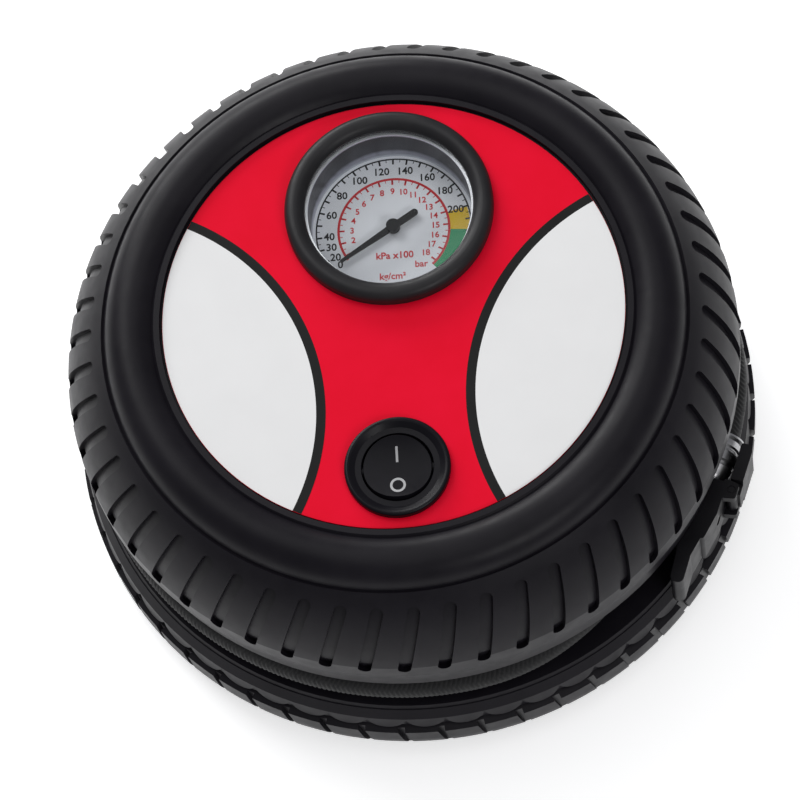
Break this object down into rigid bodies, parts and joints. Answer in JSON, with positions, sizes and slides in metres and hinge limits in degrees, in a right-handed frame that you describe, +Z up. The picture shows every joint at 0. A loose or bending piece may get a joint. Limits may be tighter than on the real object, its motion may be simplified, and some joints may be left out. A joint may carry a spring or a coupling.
{
  "type": "portable tire inflator",
  "caption": "Small 12 V air compressor shaped like a tyre lying flat, with a face gauge, a rocker switch, and a hose wound in a groove that ends in a thumb-lever air chuck.",
  "frame": {"origin": "centre of the round footprint, on the surface the feet stand on", "axes": "+Z up, +Y from the switch to the gauge, +X to the right with the gauge at the far side"},
  "size_m": [0.156, 0.156, 0.0756],
  "materials": {
    "tyre_plastic": "satin black moulded plastic",
    "bezel_plastic": "gloss black plastic",
    "face_print": "satin printed red, white and black",
    "chrome": "bright",
    "clear_lens": "clear",
    "dial_print": "white with printed scales",
    "needle_black": "satin black",
    "brass": "machined",
    "steel": "zinc plated",
    "motor_steel": "drawn steel",
    "nylon": "natural nylon",
    "copper": "enamelled copper wire",
    "ferrite": "sintered",
    "cast_alloy": "die cast",
    "seal_rubber": "matt",
    "braid": "woven black braid",
    "ferrule_metal": "plated, slightly dull",
    "red_wire": "wire insulation",
    "black_wire": "wire insulation"
  },
  "bodies": {
    "inflator": {"upper_shell": "tyre_plastic", "lower_shell": "tyre_plastic", "hose_drum": "tyre_plastic", "face_plate": "face_print", "case_screws": "steel", "rubber_feet": "seal_rubber", "gauge_bezel": "bezel_plastic", "gauge_rim": "chrome", "gauge_lens": "clear_lens", "gauge_dial": "dial_print", "gauge_case": "motor_steel", "gauge_socket": "brass", "gauge_bourdon_tube": "brass", "gauge_movement_plate": "brass", "switch_housing": "bezel_plastic", "switch_contact": "brass", "switch_terminals": "brass", "motor_can": "motor_steel", "motor_end_cap": "nylon", "motor_magnets": "ferrite", "motor_terminals": "brass", "gear_axle": "steel", "gear_clip": "steel", "gearbox_frame": "motor_steel", "frame_screws": "steel", "cylinder": "cast_alloy", "valve_plate": "steel", "valve_reed": "steel", "cylinder_head": "cast_alloy", "head_screws": "steel", "gauge_tube": "seal_rubber", "outlet_tube": "seal_rubber", "outlet_fitting": "brass", "air_hose": "braid", "hose_ferrule": "ferrule_metal", "lead_switch_to_motor": "red_wire", "lead_gland_to_switch": "red_wire", "lead_gland_to_motor": "black_wire", "cord_gland": "seal_rubber", "chuck_body": "tyre_plastic", "chuck_pin": "steel", "chuck_seal": "seal_rubber"},
    "rocker": {"switch_rocker": "bezel_plastic", "switch_spring_pin": "nylon"},
    "needle": {"gauge_needle": "needle_black", "gauge_spindle": "brass"},
    "sector": {"gauge_sector": "brass"},
    "gear": {"drive_gear": "nylon", "gear_bush": "brass", "crank_pin": "steel"},
    "rotor": {"motor_shaft": "steel", "motor_pinion": "brass", "motor_armature": "copper", "motor_commutator": "copper"},
    "piston": {"piston": "cast_alloy", "piston_seal": "seal_rubber", "connecting_rod": "cast_alloy", "wrist_pin": "steel"},
    "lever": {"chuck_lever": "tyre_plastic"},
    "plunger": {"chuck_plunger": "brass"}
  },
  "joints": [
    {"name": "rocker_tilt", "type": "hinge", "parent": "inflator", "child": "rocker", "pos_m": [0, -0.0373, 0.0712], "axis": [1, 0, 0], "range_deg": [-12, 0]},
    {"name": "sector_turn", "type": "hinge", "parent": "inflator", "child": "sector", "pos_m": [0, 0.01065, 0.0555], "axis": [0, 0, 1], "range_deg": [0, 52], "stiffness_Nm_per_rad": 0.0002},
    {"name": "needle_turn", "type": "hinge", "parent": "inflator", "child": "needle", "pos_m": [0, 0.0251, 0.0625], "axis": [0, 0, 1], "range_deg": [-260, 0]},
    {"name": "motor_spin", "type": "hinge", "parent": "inflator", "child": "rotor", "pos_m": [-0.02264, -0.00727, 0.045], "axis": [0, 0, 1], "continuous": true},
    {"name": "gear_spin", "type": "hinge", "parent": "inflator", "child": "gear", "pos_m": [0.0045, 0, 0.025], "axis": [0, 0, 1], "continuous": true},
    {"name": "piston_slide", "type": "slide", "parent": "inflator", "child": "piston", "axis": [1, 0, 0], "range_m": [-0.012, 0]},
    {"name": "lever_tilt", "type": "hinge", "parent": "inflator", "child": "lever", "pos_m": [0.0715, -0.03236, 0.0299], "axis": [0, 0, -1], "range_deg": [0, 80]},
    {"name": "plunger_push", "type": "slide", "parent": "inflator", "child": "plunger", "axis": [-0.9491, 0.315, 0], "range_m": [0, 0.0012]}
  ],
  "couplings": [
    {"joint": "needle_turn", "follows": "sector_turn", "ratio": -5},
    {"joint": "gear_spin", "follows": "motor_spin", "ratio": -0.25},
    {"joint": "lever_tilt", "follows": "plunger_push", "rad_per_m": 1163.5}
  ]
}
